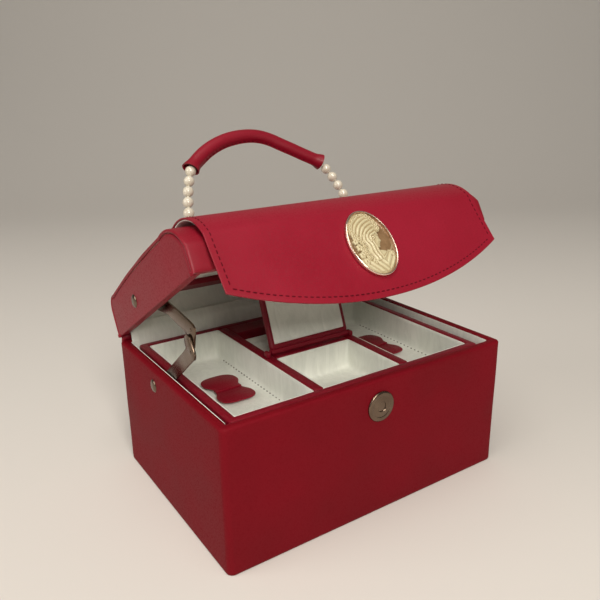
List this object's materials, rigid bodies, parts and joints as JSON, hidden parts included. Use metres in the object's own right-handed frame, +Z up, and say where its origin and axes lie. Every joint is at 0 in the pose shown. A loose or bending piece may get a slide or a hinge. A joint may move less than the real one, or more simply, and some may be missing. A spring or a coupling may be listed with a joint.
{
  "type": "leather jewellery case",
  "caption": "Rigid leather-covered jewellery box with a hinged lid on a folding stay, a snap flap with an oval cameo, a bead handle and a lift-out tray.",
  "frame": {"origin": "centre of the base's underside", "axes": "+X to the right of someone facing the front, +Y to the rear hinge, +Z up"},
  "size_m": [0.2012, 0.1634, 0.2154],
  "materials": {
    "leather": "fine-grained semi-gloss crimson",
    "board": "rigid fibreboard",
    "suede": "pale grey-cream suede cloth",
    "antique_brass": "polished dark antique brass",
    "pale_gilt": "polished pale pink gold",
    "mirror": "silvered",
    "pearl": "pearlescent ivory",
    "cameo_cream": "cast resin, satin",
    "cameo_brown": "cast resin, satin"
  },
  "bodies": {
    "base": {"base_leather": "leather", "base_bottom_cover": "leather", "base_bottom_board": "board", "base_front_board": "board", "base_rear_board": "board", "base_left_board": "board", "base_right_board": "board", "base_lining": "suede", "base_front_rest": "suede", "base_rear_rest": "suede", "snap_socket": "antique_brass", "hinge_pin": "antique_brass", "hinge_base_leaf": "antique_brass", "stay_base_rivet": "antique_brass"},
    "lid": {"lid_left_board": "board", "lid_right_board": "board", "lid_roof_board": "board", "lid_front_board": "board", "lid_rear_board": "board", "lid_leather": "leather", "lid_lining": "suede", "mirror_frame": "leather", "mirror_glass": "mirror", "hinge_lid_leaf": "antique_brass", "flap_rod": "antique_brass", "handle_anchor_left": "antique_brass", "handle_anchor_right": "antique_brass", "stay_lid_rivet": "antique_brass"},
    "flap": {"flap_leather": "leather", "flap_backing": "suede", "flap_snap_stud": "antique_brass", "cameo_rim": "pale_gilt", "cameo_ground": "cameo_brown", "cameo_relief": "cameo_cream"},
    "handle": {"handle_strand_left": "pearl", "handle_strand_right": "pearl", "handle_sleeve": "leather"},
    "stay_lower": {"stay_lower_arm": "antique_brass"},
    "stay_upper": {"stay_upper_arm": "antique_brass"},
    "tray": {"tray_floor": "leather", "tray_front_wall": "leather", "tray_rear_wall": "leather", "tray_left_wall": "leather", "tray_right_wall": "leather", "tray_left_divider": "leather", "tray_right_divider": "leather", "tray_mid_divider": "leather", "tray_rear_ledge": "leather", "tray_left_liner": "suede", "tray_right_liner": "suede", "tray_front_liner": "suede", "ring_rolls": "suede", "tray_left_bow": "leather", "tray_right_bow": "leather", "panel_rod": "antique_brass"},
    "panel": {"panel_board": "leather", "panel_suede": "suede"}
  },
  "joints": [
    {"name": "lid_hinge", "type": "hinge", "parent": "base", "child": "lid", "pos_m": [0, 0.0743, 0.0865], "axis": [-1, 0, 0], "range_deg": [-30, 65]},
    {"name": "flap_hinge", "type": "hinge", "parent": "lid", "child": "flap", "pos_m": [0, 0.0065, 0.16306], "axis": [-1, 0, 0], "range_deg": [-4, 90]},
    {"name": "handle_swing", "type": "hinge", "parent": "lid", "child": "handle", "pos_m": [0, 0.02981, 0.15144], "axis": [-1, 0, 0], "range_deg": [-10, 75]},
    {"name": "stay_lower_turn", "type": "hinge", "parent": "base", "child": "stay_lower", "pos_m": [-0.093, 0.0149, 0.076], "axis": [-1, 0, 0], "range_deg": [-30, 65]},
    {"name": "stay_knee_turn", "type": "hinge", "parent": "stay_lower", "child": "stay_upper", "pos_m": [-0.0914, -0.0244, 0.1147], "axis": [-1, 0, 0], "range_deg": [-66, 31]},
    {"name": "tray_lift", "type": "slide", "parent": "base", "child": "tray", "axis": [0, 0, 1], "range_m": [0, 0.006]},
    {"name": "panel_turn", "type": "hinge", "parent": "tray", "child": "panel", "pos_m": [0, -0.002, 0.0857], "axis": [1, 0, 0], "range_deg": [-51, 110]}
  ],
  "couplings": [
    {"joint": "stay_lower_turn", "follows": "lid_hinge", "ratio": 0.976},
    {"joint": "stay_knee_turn", "follows": "lid_hinge", "ratio": -1.0024},
    {"joint": "panel_turn", "follows": "lid_hinge", "ratio": 1.677}
  ]
}
